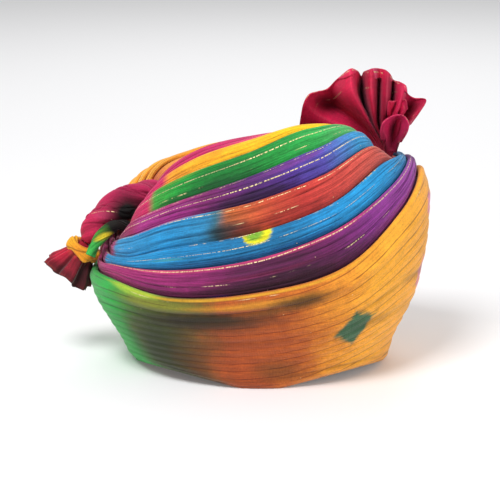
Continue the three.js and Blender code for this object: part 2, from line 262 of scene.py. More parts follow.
def creases(turns, share, count, seed, width=0.05, drift=0.5):
    """Depth of all creases, 0 to about 1, at each place. turns and share are grids."""
    rng = np.random.default_rng(seed)
    line = turns[:, :1]
    depth = np.zeros_like(share)
    for k in range(count):
        place = (k + rng.uniform(0.2, 0.8)) / count + drift / count * wander(line, seed * 31 + k, 4)
        strength = np.clip(0.45 + 0.9 * wander(line, seed * 57 + k, 12), 0, 1.2)
        narrow = width * rng.uniform(0.6, 1.4)
        depth = np.maximum(depth, strength * np.exp(-(((share - place) / narrow) ** 2)))
    return depth


def pleats(turns, share, count, seed, drift=0.35):
    """How far each place lies below the tops of the rounded pleats, 0 to 1, sharp in the valleys."""
    rng = np.random.default_rng(seed)
    line = turns[:, :1]
    edges = [np.full_like(line, -0.05)]
    for k in range(1, count):
        edges.append((k + rng.uniform(-0.2, 0.2)) / count + drift / count * wander(line, seed * 13 + k, 5))
    edges.append(np.full_like(line, 1.06))
    depth = np.zeros_like(share)
    for k in range(count):
        low, high = edges[k], edges[k + 1]
        inside = (share >= low) & (share < high)
        middle = np.abs(2 * (share - low) / np.maximum(high - low, 0.05) - 1)
        strength = np.clip(0.7 + 0.5 * wander(line, seed * 71 + k, 8), 0.15, 1.1)
        depth = np.where(inside, strength * middle**3.2, depth)
    return depth


def smooth_step(x, low, high):
    t = np.clip((x - low) / (high - low), 0, 1)
    return t * t * (3 - 2 * t)


# %% [markdown]
# ## Dyed cotton
# The cloth is tie-dyed: long runs of one colour that bleed into the next, small patches of another, and
# thin lines of gold thread. A colour ramp along the cloth gives the runs, noise makes their borders bleed,
# and soft patches are laid over it; some of these patches are painted shade and some painted highlight.
# Creases are darkened with painted shade. Long narrow streaks follow the threads. The weave and the slubs
# come from two fine waves and noise as bump, and a little sheen gives the soft glow of cotton.


# %% Colour helper
def dye(code):
    """A colour written as six letters, as linear red, green, blue and 1."""
    parts = [int(code[k : k + 2], 16) / 255 for k in (0, 2, 4)]
    return [c / 12.92 if c <= 0.04045 else ((c + 0.055) / 1.055) ** 2.4 for c in parts] + [1]


# %% Scales of the dye's noise and of the threads
cloud_scale, blot_scale, fine_scale, weave_scale = 30.0, 95.0, 650.0, 230.0
# how strong the painted shade from the crease mark is, and how dark the seam lines are
crease_shade, seam_shade = 0.66, 0.6


# %% Node helper
class Cloth:
    """A material's nodes, added one at a time."""

    def __init__(self, name):
        self.material = bpy.data.materials.new(name)
        self.material.use_nodes = True
        self.tree = self.material.node_tree
        self.shader = self.tree.nodes["Principled BSDF"]

    def node(self, kind, inputs=(), **settings):
        made = self.tree.nodes.new(kind)
        for key, value in settings.items():
            setattr(made, key, value)
        for key, value in dict(inputs).items():
            self.set(made.inputs[key], value)
        return made

    def set(self, socket, value):
        if isinstance(value, bpy.types.NodeSocket):
            self.tree.links.new(value, socket)
        else:
            socket.default_value = value

    def maths(self, operation, a, b=0.0, c=0.0, clamp=False):
        made = self.node("ShaderNodeMath", {0: a, 1: b, 2: c}, operation=operation, use_clamp=clamp)
        return made.outputs[0]

    def times(self, a, b, clamp=False):
        return self.maths("MULTIPLY", a, b, clamp=clamp)

    def scaled(self, a, factor, more):
        """a times factor, plus more."""
        return self.maths("MULTIPLY_ADD", a, factor, more)

    def paint(self, looks):
        for key, value in looks.items():
            self.set(self.shader.inputs[key], value)

    def smooth(self, value, low, high):
        made = self.node("ShaderNodeMapRange", {0: value, 1: low, 2: high}, interpolation_type="SMOOTHSTEP")
        return made.outputs[0]

    def mix(self, factor, a, b, blend="MIX"):
        made = self.node("ShaderNodeMix", {0: factor, 6: a, 7: b}, data_type="RGBA", blend_type=blend)
        return made.outputs[2]

    def grey(self, value):
        return self.node("ShaderNodeCombineColor", {0: value, 1: value, 2: value}).outputs[0]

    def noise(self, vector, scale, detail=3.0, rough=0.55):
        looks = {"Vector": vector, "Scale": scale, "Detail": detail, "Roughness": rough}
        return self.node("ShaderNodeTexNoise", looks).outputs[0]

    def stretched(self, vector, along, across):
        made = self.node("ShaderNodeVectorMath", {0: vector, 1: (along, across, 1)}, operation="MULTIPLY")
        return made.outputs[0]

    def wave(self, vector, direction):
        looks = {"Vector": vector, "Scale": weave_scale, "Distortion": 2, "Detail": 1, "Detail Scale": 2}
        return self.node("ShaderNodeTexWave", looks, bands_direction=direction).outputs[1]


# %% Dye patches
def oval(at, up, half_long, half_wide, colour, strength=1, soft=0.25):
    """A patch with its middle and its half sizes as shares along and across the cloth."""
    return at, up, (1 / half_long, 0), (0, 1 / half_wide), colour, strength, soft, False


def slanted(at, up, first, second, colour, strength=1.0, soft=0.12):
    """A four-sided patch from its middle and its two half sides, each as shares along and across."""
    area = first[0] * second[1] - first[1] * second[0]
    rows = (second[1] / area, -second[0] / area), (-first[1] / area, first[0] / area)
    return at, up, *rows, colour, strength, soft, True


def lay_patch(c, colour, along, across, ragged, patch):
    at, up, first, second, code, strength, soft, square = patch
    dx, dy = c.maths("SUBTRACT", along, at), c.maths("SUBTRACT", across, up)
    x = c.scaled(dx, first[0], c.times(dy, first[1]))
    y = c.scaled(dx, second[0], c.times(dy, second[1]))
    if square:
        far = c.maths("MAXIMUM", c.maths("ABSOLUTE", x), c.maths("ABSOLUTE", y))
    else:
        far = c.maths("SQRT", c.scaled(x, x, c.times(y, y)))
    inside = c.smooth(c.maths("ADD", far, ragged), 1 + soft, 1 - soft)
    return c.mix(c.times(inside, strength), colour, dye(code))


# %% Dyed cloth material, with painted shade in the creases
def dyed_cloth_with_painted_shade(
    name, runs, patches=(), gold=(), seams=False, bleed=0.03, shade=0.5, rough=0.74, sheen=0.25, streaky=0.5
):
    """runs has a colour for each place along the cloth. gold are (place across, half width, how much of it
    shows)."""
    c = Cloth(name)
    parts = c.node("ShaderNodeSeparateXYZ", {0: c.node("ShaderNodeUVMap", uv_map="dye").outputs[0]})
    along, across = parts.outputs[0], parts.outputs[1]
    threads = c.node("ShaderNodeUVMap", uv_map="weave").outputs[0]
    place = c.node("ShaderNodeTexCoord").outputs["Object"]
    cloud = c.noise(place, cloud_scale, 3)
    blot = c.noise(place, blot_scale, 5, 0.7)
    fine = c.noise(place, fine_scale, 3, 0.65)
    streak = c.noise(c.stretched(threads, 38, 900), 1, 3, 0.7)
    # colour runs that bleed into each other
    blotted = c.scaled(blot, 0.45, cloud)
    shift = c.scaled(blotted, bleed * 2, -bleed * 1.45)
    shift = c.scaled(streak, bleed * 0.7, c.maths("ADD", shift, -bleed * 0.35))
    ramp = c.node("ShaderNodeValToRGB", {0: c.maths("ADD", along, shift)})
    stops = ramp.color_ramp.elements
    while len(stops) < len(runs):
        stops.new(0.5)
    for stop, (at, code) in zip(stops, runs.items()):
        stop.position = at
        stop.color = dye(code)
    colour = ramp.outputs[0]
    ragged = c.scaled(c.maths("ADD", c.maths("ADD", cloud, blot), streak), 0.55, -0.83)
    for patch in patches:
        colour = lay_patch(c, colour, along, across, ragged, patch)
    # threads take up the dye unevenly, and the creases are darkened with painted shade
    mottled = c.maths("ADD", blot, c.scaled(fine, 1.5, -0.25))
    uneven = c.scaled(mottled, shade, 1 - shade)
    lines = c.scaled(c.smooth(streak, 0.3, 0.66), streaky, 1 - 0.55 * streaky)
    colour = c.mix(1, colour, c.grey(c.times(uneven, lines)), "MULTIPLY")
    crease = c.node("ShaderNodeAttribute", attribute_name="crease").outputs["Fac"]
    deep = c.maths("SUBTRACT", 1, c.times(crease, crease_shade), clamp=True)
    colour = c.mix(1, colour, c.grey(deep), "MULTIPLY")
    if seams:
        layer = c.node("ShaderNodeAttribute", attribute_name="layer").outputs["Fac"]
        phase = c.maths("FRACT", c.scaled(cloud, 0.18, layer))
        off = c.maths("ABSOLUTE", c.maths("SUBTRACT", phase, 0.5))
        line = c.maths("SUBTRACT", 1, c.smooth(off, 0.02, 0.085))
        shown = c.smooth(c.noise(c.stretched(threads, 22, 120), 1, 2), 0.34, 0.52)
        darker = c.mix(1, colour, dye("7a3418"), "MULTIPLY")
        colour = c.mix(c.times(c.times(line, shown), seam_shade), colour, darker)
    # gold thread in broken lines, and a few stray glints
    cells = c.node("ShaderNodeTexVoronoi", {"Vector": c.stretched(threads, 170, 260), "Scale": 1})
    pick = c.node("ShaderNodeSeparateColor", {0: cells.outputs["Color"]}).outputs[0]
    glint = c.smooth(cells.outputs["Distance"], 0.12, 0.06)
    metal = c.times(glint, c.smooth(pick, 0.93, 0.95))
    dashes = c.smooth(c.noise(c.stretched(threads, 520, 60), 1, 2, 0.6), 0.4, 0.56)
    wobble = c.scaled(c.noise(place, 14, 2), 0.1, -0.05)
    for number, (up, half_wide, shows) in enumerate(gold):
        off = c.maths("ABSOLUTE", c.maths("SUBTRACT", c.maths("ADD", across, wobble), up))
        thread = c.smooth(off, half_wide * 1.2, half_wide * 0.5)
        stretch = c.noise(c.stretched(threads, 24, 0), 1 + 0.37 * number, 2)
        thread = c.times(thread, c.smooth(stretch, 0.68 - 0.4 * shows, 0.8 - 0.4 * shows))
        metal = c.maths("MAXIMUM", metal, c.times(thread, dashes, clamp=True))
    colour = c.mix(metal, colour, dye("f7dfa6"))
    weave = c.times(c.wave(threads, "X"), c.wave(threads, "Y"))
    slubs = c.scaled(streak, 0.9, c.times(fine, 0.7))
    height = c.maths("ADD", c.scaled(weave, 0.4, slubs), metal)
    bump = c.node("ShaderNodeBump", {"Strength": 0.5, "Distance": 0.0009, "Height": height})
    roughness = c.scaled(metal, -0.4, c.scaled(fine, 0.2, rough - 0.1))
    c.paint({"Base Color": colour, "Metallic": c.times(metal, 0.5), "Roughness": roughness})
    c.paint({"Sheen Weight": sheen, "Sheen Roughness": 0.4, "Specular IOR Level": 0.3})
    c.paint({"Normal": bump.outputs[0]})
    return c.material


# %% [markdown]
# ## Head band
# The band is many layers of the long cloth, wound tight and low round the head. Its outer face shows the
# edges of those layers as thin lines that run with the upper fold, so their place is measured down from
# that fold. It is one thick closed ring: out and up the outer face, over the rolled upper fold, down the
# inside and back under the rim, where it is drawn in thin.

# %% Head band mesh
turn_steps = 400
turns = np.arange(turn_steps) / turn_steps
angles = (turns * TAU)[:, None]
seam_spacing, ledge_height, fold_depth, face_inset = 6.8, 0.7, 1.1, 0.3


def head_band_mesh():
    top = first_fold - 0.05
    outer = np.linspace(0, top, 120)[None, :]
    share = np.broadcast_to(outer / first_fold, (turn_steps, outer.shape[1]))
    spread = np.broadcast_to(turns[:, None], share.shape)
    plain = on_guide(angles, outer, 0.0)
    rise = np.cumsum(np.linalg.norm(np.diff(plain, axis=1), axis=-1), axis=1)
    rise = np.concatenate([np.zeros((turn_steps, 1)), rise], axis=1)
    down = rise[:, -1:] - rise
    # the layers fan out where the band is tall
    spacing = seam_spacing * (rise[:, -1:] / rise[:, -1].min()) ** 0.75
    layer = down / spacing + 0.35 * wander(spread, 3, 4)
    phase = np.mod(layer + 0.5, 1)
    ledge = ledge_height * smooth_step(phase, 0, 0.2) * (1 - 0.8 * smooth_step(phase, 0.2, 1))
    fade = smooth_step(down, 3, 10) * smooth_step(rise, 2, 10)
    lip = band_lip * smooth_step(outer, 3, 3.6)
    soft = 1.3 * wander(spread + share * 0.15, 5, 5) * np.sin(np.pi * share)
    folds = 0.55 * creases(spread, share, 5, 11, 0.022)
    tuck = band_wall * rim_taper * np.clip(1 - outer / 0.45, 0, 1) ** 1.6
    face = on_guide(angles, outer, lip + ledge * fade + soft - fold_depth * folds * fade - face_inset - tuck)
    face[:, 0, 2] = rim_height(angles[:, 0])
    roll = np.linspace(0, np.pi, 9)[1:-1][None, :]
    half = band_wall / 2
    edge = on_guide(angles, top + 0.05 * np.sin(roll), band_lip - half - face_inset + half * np.cos(roll))
    edge[..., 2] += 2.0 * np.sin(roll)
    inner_levels = np.linspace(first_fold - 0.1, 0.9, 10)[None, :]
    inner = on_guide(angles, inner_levels, band_lip * smooth_step(inner_levels, 3, 3.6) - band_wall)
    inside = lining_wall + rim_gap
    foot_x = (head_length / 2 + inside) * np.cos(angles)
    foot_y = (head_width / 2 + inside) * np.sin(angles)
    foot = np.stack([foot_x, foot_y, rim_height(angles)], axis=-1)
    points = np.concatenate([face, edge, inner, foot], axis=1)
    edge_across = np.linspace(1, 1.04, roll.shape[1])
    inner_across = np.linspace(1.04, 0.2, inner_levels.shape[1])
    across = np.concatenate([share[0], edge_across, inner_across, [0.05, 0]])
    rest = np.zeros((turn_steps, points.shape[1] - share.shape[1]))
    # The creases of the outer face get painted shade.
    crease = np.concatenate([folds * fade, rest], axis=1)
    layers = np.concatenate([layer, rest], axis=1)
    return cloth_mesh("head_band_cloth", points, ringed=True, across=across, crease=crease, layer=layers)


# %% Head band dye
band_runs = {
    0: "f2a52c", 0.08: "f0a832", 0.18: "e08a28", 0.27: "bf6220", 0.35: "8a8420", 0.43: "3f9f3a",
    0.5: "2cab45", 0.58: "27a842", 0.602: "3f8f34", 0.622: "5c7030", 0.655: "565a24", 0.69: "6b5220",
    0.718: "a44e1e", 0.755: "b0541e", 0.8: "c87022", 0.84: "e4942a", 0.88: "f2a830", 1: "f2a52c",
}
band_patches = [
    oval(0.64, 0.33, 0.04, 0.38, "2c3416", 0.95, 0.8), oval(0.702, 0.66, 0.056, 0.12, "2c2614", 1, 0.6),
    oval(0.672, 0.22, 0.026, 0.22, "3a381a", 0.8, 0.7),
    oval(0.752, 0.26, 0.056, 0.28, "a84a20", 0.75, 0.95),
    oval(0.65, 0.89, 0.04, 0.08, "84882c", 0.8, 0.7), oval(0.75, 0.88, 0.055, 0.055, "cc8826", 0.8, 0.6),
    oval(0.788, 0.83, 0.026, 0.08, "50360f", 0.9, 0.7), oval(0.757, 0.76, 0.02, 0.04, "6a4418", 0.6, 0.7),
    oval(0.772, 0.21, 0.025, 0.085, "6a4018", 0.65, 0.7), oval(0.8, 0.13, 0.02, 0.05, "8a4a1c", 0.5, 0.6),
    # The yellow patch along the top fold and the yellow-green one beside it are painted highlight where the
    # fold catches the light.
    oval(0.735, 1, 0.12, 0.01, "d8a024", 0.7, 0.6), oval(0.62, 1, 0.03, 0.05, "a6c838", 0.75, 0.5),
    slanted(0.849, 0.49, (0.009, 0.076), (0.0138, -0.039), "1b6248", 0.95, 0.2),
    oval(0.975, 0.85, 0.012, 0.045, "e07ab8", 0.75, 0.4),
    oval(0.962, 0.57, 0.01, 0.06, "e28ab0", 0.75, 0.4), oval(0.35, 0.4, 0.02, 0.09, "2a6a48", 0.9, 0.3),
    oval(0.2, 0.55, 0.03, 0.12, "8a3f1c", 0.6, 0.5),
]
band_gold = [(0.985, 0.005, 0.4)]
band_material = dyed_cloth_with_painted_shade(
    "head_band_dye", band_runs, band_patches, band_gold, seams=True, bleed=0.045, streaky=0.22
)
add_piece("head_band_cloth", head_band_mesh(), "head_band", band_material)

# %% [markdown]
# ## Side wraps
# Each wrap is a flat bundle of pleats. Its lower part goes behind the fold below and its upper fold stands
# out, so light catches the folds and the parts under them fall into shade. The bundle is a closed ring with
# a rolled upper edge, and its pleats run along it. They are deeper where the bundle is pulled narrow, at
# the back and at the front.


# %% Wrap mesh
wrap_tuck, fold_line = 0.24, 0.96  # how far a wrap goes behind the fold below, and where its edge starts
usual_width, lean_power = 17, 1.7
bulge_depth, pleat_depth, fine_depth = 1.9, 1.3, 0.7


def wrap_mesh(name, number, seed, pleat_count):
    base = first_fold + number - 1
    outer = np.linspace(-wrap_tuck, fold_line, 52)[None, :]
    share = np.broadcast_to(outer, (turn_steps, outer.shape[1]))
    spread = np.broadcast_to(turns[:, None], share.shape)
    flat_base = np.full_like(angles, float(base))
    width = np.linalg.norm(guide(angles, flat_base + 1) - guide(angles, flat_base), axis=-1)
    size = np.clip(width / usual_width, 0.35, 1.3)
    lean = -step_out * np.clip(1 - share, 0, 1) ** lean_power
    lean = np.where(share < 0, -step_out - clearance * 0.6, lean)
    bulge = bulge_depth * np.sin(np.pi * np.clip(share, 0, 1)) ** 0.8 * size
    to_back = np.exp(-(((spread - 0.5) / 0.1) ** 2))
    to_front = np.exp(-(((np.abs(spread - 0.5) - 0.5) / 0.06) ** 2))
    valley = pleats(spread, share, pleat_count, seed)
    fine = creases(spread, share, pleat_count * 4, seed + 1, 0.018, 0.7)
    depth = (pleat_depth * valley + fine_depth * fine) * (0.8 + 0.4 * to_back + 0.4 * to_front) * size
    face = on_guide(angles, base + outer, lean + bulge - depth * smooth_step(share, -0.05, 0.08))
    roll = np.linspace(0, np.pi, 7)[1:-1][None, :]
    half = wrap_wall / 2
    edge_share = fold_line + (1 - fold_line) * np.sin(roll)
    edge = on_guide(angles, base + edge_share, -half + half * np.cos(roll))
    back_share = np.linspace(0.95, -wrap_tuck, 8)[None, :]
    back_lean = -step_out * np.clip(1 - back_share, 0, 1.1) ** lean_power
    back = on_guide(angles, base + back_share, back_lean - wrap_wall + 0.4)
    points = np.concatenate([face, edge, back], axis=1)
    across = np.concatenate([share[0], np.linspace(0.97, 1, roll.shape[1]), back_share[0], [-wrap_tuck]])
    # Painted shade darkens the pleat valleys and the fine creases of the face.
    hollow = 0.65 * valley**2 + 0.45 * fine
    crease = np.zeros(points.shape[:2])
    crease[:, : hollow.shape[1]] = np.clip(hollow, 0, 1)
    return cloth_mesh(name, points, ringed=True, across=across, crease=crease)


# %% Wrap dyes, from the front by the far side to the back and on to the front
# Each wrap has its count of pleats, its colour runs, its patches and its gold threads. Some dark patches
# low on a wrap are painted shade where it goes in behind the fold below.
wrap_looks = {
    "purple": (4, {
        0: "8e3a96", 0.15: "7a2a80", 0.3: "c8742a", 0.42: "d98a30", 0.5: "b02868", 0.58: "b02a72",
        0.64: "a42a72", 0.7: "8a2264", 0.735: "5e1a48", 0.79: "521640", 0.825: "6a1a58", 0.87: "7e2a7e",
        0.93: "963c98", 1: "8e3a96",
    }, [
        # The two patches on the next line, dark and low on the wrap, are painted shade where it goes in
        # behind the fold below.
        oval(0.76, 0.15, 0.1, 0.34, "2a0a1e", 0.85, 0.6), oval(0.66, 0.12, 0.05, 0.14, "5a1440", 0.7, 0.5),
        oval(0.66, 0.97, 0.08, 0.1, "cc3a70", 0.85, 0.5), oval(0.8, 0.98, 0.08, 0.08, "c03470", 0.8, 0.5),
        oval(0.64, 0.4, 0.03, 0.16, "781c5c", 0.6, 0.7),
        oval(0.713, 0.05, 0.012, 0.07, "4a2a9a", 0.7, 0.5),
        oval(0.75, 0.55, 0.05, 0.05, "98285e", 0.5, 0.6),
    ], [(0.93, 0.018, 0.8), (0.45, 0.012, 0.45)]),
    "blue": (4, {
        0: "1a88c0", 0.12: "1a88c0", 0.22: "2aa0c8", 0.31: "e09a30", 0.42: "f0a83a", 0.49: "a82464",
        0.536: "a02a70", 0.547: "1f8ec8", 0.62: "1e92cc", 0.68: "1a82bc", 0.72: "1874a8", 0.78: "166c9c",
        0.82: "1c84be", 0.88: "2094d0", 1: "1a88c0",
    }, [
        oval(0.757, 1, 0.0145, 0.48, "d6cf1c", 1, 0.12),
        oval(0.754, 0.95, 0.008, 0.24, "6fae34", 0.9, 0.4),
        # The two dark blue patches on the next line, low on the wrap, are painted shade where it goes in
        # behind the fold below.
        oval(0.7, 0.12, 0.06, 0.14, "0f4c7c", 0.8, 0.5), oval(0.8, 0.1, 0.05, 0.12, "10508a", 0.7, 0.5),
        oval(0.66, 0.45, 0.02, 0.06, "58b0a0", 0.5, 0.6),
    ], [(0.55, 0.013, 0.65), (0.97, 0.016, 0.5)]),
    "coral": (3, {
        0: "dc5c50", 0.12: "d04a40", 0.26: "c03038", 0.33: "f0a03a", 0.43: "f0a840", 0.49: "a01f58",
        0.546: "a82870", 0.557: "2a94cc", 0.66: "2088c0", 0.704: "2a7eac", 0.717: "3a6a78", 0.728: "b8602e",
        0.745: "c0582e", 0.775: "b6402a", 0.81: "b4322c", 0.85: "c4423a", 0.9: "cc5448", 1: "c85248",
    }, [
        oval(0.724, 0.24, 0.022, 0.28, "14262c", 0.9, 0.6),
        # The dark brown patch below and the last, dark red patch are painted shade where the wrap goes in
        # behind the fold below.
        oval(0.745, 0.1, 0.016, 0.16, "5e2a18", 0.8, 0.5),
        oval(0.64, 0.97, 0.05, 0.07, "b82c6c", 0.7, 0.5), oval(0.79, 0.25, 0.05, 0.16, "8e2420", 0.6, 0.6),
    ], [(0.9, 0.016, 0.7), (0.4, 0.012, 0.4)]),
    "violet": (3, {
        0: "3aa4e0", 0.1: "3a80c8", 0.2: "5a3aa0", 0.3: "8a2a7a", 0.36: "f0a23c", 0.44: "f2ac44",
        0.5: "8a1c4c", 0.585: "a01c5c", 0.604: "a82c80", 0.66: "98287c", 0.7: "742060", 0.745: "4e1c5e",
        0.8: "482a80", 0.84: "5048a4", 0.87: "4a78bc", 0.895: "3896cc", 1: "3a98c8",
    }, [
        # The second patch here, dark and low on the wrap, is painted shade where it goes in behind the fold
        # below.
        oval(0.63, 0.9, 0.05, 0.12, "c0407c", 0.6, 0.5), oval(0.75, 0.15, 0.05, 0.18, "220c30", 0.8, 0.5),
        oval(0.8, 0.8, 0.04, 0.12, "7a3a8a", 0.6, 0.5),
    ], [(0.55, 0.02, 0.98), (0.9, 0.014, 0.6)]),
    "green": (3, {
        0: "58b864", 0.15: "2a9a44", 0.27: "1f8f3a", 0.35: "e8a838", 0.45: "f2ae46", 0.5: "b01c4c",
        0.604: "cc2060", 0.618: "3ca03a", 0.66: "1f9a38", 0.72: "17862e", 0.78: "1c9038", 0.84: "2ea44a",
        0.89: "5cb86c", 0.94: "6cc07c", 1: "58b864",
    }, [
        # The second patch here, dark green and low on the wrap, is painted shade where it goes in behind the
        # fold below.
        oval(0.72, 0.45, 0.05, 0.34, "0e5a28", 0.6, 0.8), oval(0.7, 0.15, 0.06, 0.16, "0c4a22", 0.8, 0.5),
        oval(0.655, 0.9, 0.03, 0.1, "7ab034", 0.6, 0.5), oval(0.76, 0.97, 0.04, 0.08, "1a5a24", 0.8, 0.5),
        oval(0.885, 0.97, 0.012, 0.07, "d84028", 0.8, 0.4),
    ], [(0.6, 0.02, 0.98), (0.25, 0.012, 0.45)]),
    "marigold": (2, {
        0: "ffc61e", 0.2: "f8b428", 0.35: "f0a53a", 0.46: "f2ac44", 0.5: "c01f55", 0.59: "cc2060",
        0.622: "d42a62", 0.634: "f49a2c", 0.66: "f8a824", 0.75: "fcb61c", 0.85: "ffcc14", 1: "ffc61e",
    }, [
        oval(0.65, 0.1, 0.03, 0.2, "e88a2a", 0.6, 0.5), oval(0.7, 0.5, 0.02, 0.2, "f49c1e", 0.6, 0.5),
    ], [(0.1, 0.016, 0.6)]),
    "magenta": (2, {
        0: "c42a62", 0.25: "c02a60", 0.38: "e89a3c", 0.46: "c0265a", 0.55: "bc1e5a", 0.7: "c42662",
        0.85: "c8346a", 1: "c42a62",
    }, [
        oval(0.8, 0.2, 0.08, 0.3, "e8587a", 0.5, 0.5),
    ], []),
}
for number, (name, (pleat_count, runs, patches, gold)) in enumerate(wrap_looks.items(), start=1):
    node = "wrap_" + name
    material = dyed_cloth_with_painted_shade(node + "_dye", runs, patches, gold, bleed=0.008)
    mesh = wrap_mesh(node + "_cloth", number, 40 + number * 3, pleat_count)
    add_piece(node + "_cloth", mesh, node, material)

# %% [markdown]
# ## Under-layers and lining cap
# Inside the hollow of the crown the loose inner layers show, pushed down in soft folds, and at the bottom
# is the lining cap that the head goes into. The layers are one ring that follows the wraps from inside. The
# cap is a rounded shell, made as loops from its inner top down to the rim and up again outside.

# %% Under-layers and lining cap meshes
steepness = 2.5  # above 2 the cap is fuller than a ball
landing_rise = 0.25  # radians
layer_bulge, gather_depth, gather_waves = 3.0, 0.35, 24


def cap_points(angle, rise, offset):
    angle, rise = np.broadcast_arrays(angle, rise)
    plan = np.cos(rise) ** (2 / steepness)
    x = (head_length / 2 + offset) * plan * np.cos(angle)
    y = (head_width / 2 + offset) * plan * np.sin(angle)
    z = (crown_depth + offset) * np.sin(rise) ** (2 / steepness)
    return np.stack([x, y, np.maximum(z, rim_height(angle))], axis=-1)


def core_mesh():
    under_band = on_guide(angles, np.linspace(1, 3.3, 6)[None, :], -band_wall - clearance)
    under_wraps = on_guide(angles, np.linspace(first_fold, last_fold, 22)[None, :], -core_depth)
    top = under_wraps[:, -1]
    offset = lining_wall + core_gap
    plan = np.hypot(top[:, 0] / (head_length / 2 + offset), top[:, 1] / (head_width / 2 + offset))
    top_rise = np.maximum(np.arccos(np.clip(plan, 0, 1) ** (steepness / 2)), landing_rise)[:, None]
    down = np.linspace(0, 1, 22)[None, 1:]
    landing = cap_points(angles, top_rise, offset)
    wall_share = np.linspace(0, 1, 34)[None, 1:-1, None]
    wall = top[:, None] * (1 - wall_share) + landing * wall_share
    share = np.broadcast_to(wall_share[..., 0], wall.shape[:2])
    spread = np.broadcast_to(turns[:, None], wall.shape[:2])
    valley = pleats(spread, share, 4, 71)
    inward = -wall * np.array([1, 1, 0])
    inward /= np.linalg.norm(wall[..., :2], axis=-1, keepdims=True)
    wall = wall + inward * (layer_bulge * np.sin(np.pi * share) * (1 - 1.1 * valley))[..., None]
    over_cap = cap_points(angles, top_rise * (1 - down) + 0.12 * down, offset)
    points = np.concatenate([under_band, under_wraps, wall, landing, over_cap], axis=1)
    # Painted shade darkens the valleys of the folds on the wall down into the hollow.
    crease = np.zeros(points.shape[:2])
    start = under_band.shape[1] + under_wraps.shape[1]
    crease[:, start : start + wall.shape[1]] = valley**2
    return cloth_mesh("inner_layers_cloth", points, ringed=True, crease=crease)


def cap_mesh():
    rises = np.concatenate([np.linspace(0, 0.3, 8), np.linspace(0.3, 1.5, 32)[1:]])
    circle = angles[:, 0][None, :]
    gather = gather_depth * np.abs(np.sin(circle * gather_waves)) ** 0.5
    inside = cap_points(circle, rises[::-1, None], 0)
    outside = cap_points(circle, rises[:, None], lining_wall)
    inside[..., 2] = np.maximum(inside[..., 2] - gather * np.sin(rises[::-1, None]) ** 4, rim_height(circle))
    outside[..., 2] += (gather - 0.3) * np.sin(rises[:, None]) ** 4
    return cloth_mesh("lining_cap_cloth", np.concatenate([inside, outside], axis=0), ringed=False)


# %% Under-layers and lining cap pieces
# The near-black run at the back is painted shade in the pit of the hollow.
core_runs_with_painted_shade = {
    0: "8a1c46", 0.3: "7a1a50", 0.45: "4a0c28", 0.52: "2c0818", 0.6: "5a1030", 0.8: "701848", 1: "8a1c46",
}
core_material = dyed_cloth_with_painted_shade("inner_layers_dye", core_runs_with_painted_shade)
add_piece("inner_layers_cloth", core_mesh(), "wound_core", core_material)
cap_runs = {0: "9a6a3c", 0.5: "8a5a34", 1: "9a6a3c"}
cap_material = dyed_cloth_with_painted_shade("lining_cap_dye", cap_runs, shade=0.3, sheen=0.1, streaky=0.3)
add_piece("lining_cap_cloth", cap_mesh(), "lining_cap", cap_material)

# %% [markdown]
# ## Twisted roll and strand
# Over the back the last layers are twisted into a roll, and beside it the end of the head band is twisted
# up into the hollow. Twisting packs cloth into slanting ridges. The section is a round with lobes that turn
# as they go along the path, and finer creases turn with them.


# %% A twisted body along a path
def smooth_path(rows, steps):
    """A smooth curve through rows of numbers, which may themselves be tables."""
    rows = np.array(rows, dtype=float)
    ends = np.concatenate([2 * rows[:1] - rows[1:2], rows, 2 * rows[-1:] - rows[-2:-1]])
    place = np.linspace(0, len(rows) - 1, steps)
    below = np.clip(np.floor(place).astype(int), 0, len(rows) - 2)
    part = (place - below).reshape(-1, *[1] * (rows.ndim - 1))
    return cubic(*[ends[below + k] for k in range(4)], part)


def twisted_mesh(
    name, path, sides, steps, lobes, lobe_depth, twist, crease_count, crease_depth, seed, pit=None
):
    """The path has x, y, z and a radius. A pit is a place and a reach round which the cloth gets painted
    shade.
    """
    line = smooth_path(path, steps)
    centre, radius = line[:, :3], line[:, 3:]
    forward = np.gradient(centre, axis=0)
    forward /= np.linalg.norm(forward, axis=1, keepdims=True)
    side = np.cross(np.array([0.0, 1.0, 0.0]), forward)
    side /= np.linalg.norm(side, axis=1, keepdims=True)
    over = np.cross(forward, side)
    share = np.linspace(0, 1, steps)[:, None]
    round_share = (np.arange(sides) / sides)[None, :]
    spin = round_share * TAU
    rng = np.random.default_rng(seed)
    shape = 1 - lobe_depth * (0.5 - 0.5 * np.cos(lobes * spin)) ** 2 + 0 * share
    # Painted shade darkens the hollows between the lobes and the fine creases.
    crease = 0.5 * (0.5 - 0.5 * np.cos(lobes * spin)) ** 4 + 0 * share
    for k in range(crease_count):
        at = rng.uniform(0, 1) + 0.05 * np.sin(TAU * (share * rng.uniform(1, 3) + rng.uniform()))
        gap = np.abs(np.mod(round_share - at + 0.5, 1) - 0.5)
        strength = np.clip(0.6 + 0.8 * np.sin(TAU * (share * rng.uniform(0.6, 1.8) + rng.uniform())), 0, 1)
        line_depth = strength * np.exp(-((gap / rng.uniform(0.01, 0.022)) ** 2))
        shape = shape - crease_depth * line_depth
        crease = np.maximum(crease, 0.8 * line_depth)
    turned = spin + twist * share
    points = (
        centre[:, None]
        + (radius * shape * np.cos(turned))[..., None] * side[:, None]
        + (radius * shape * np.sin(turned))[..., None] * over[:, None]
    )
    if pit is not None:
        away = np.linalg.norm(points - np.array(pit[:3]), axis=-1) / pit[3]
        crease = np.maximum(crease, 1.7 * np.exp(-(away**2)))
    return cloth_mesh(name, points, ringed=False, crease=crease)


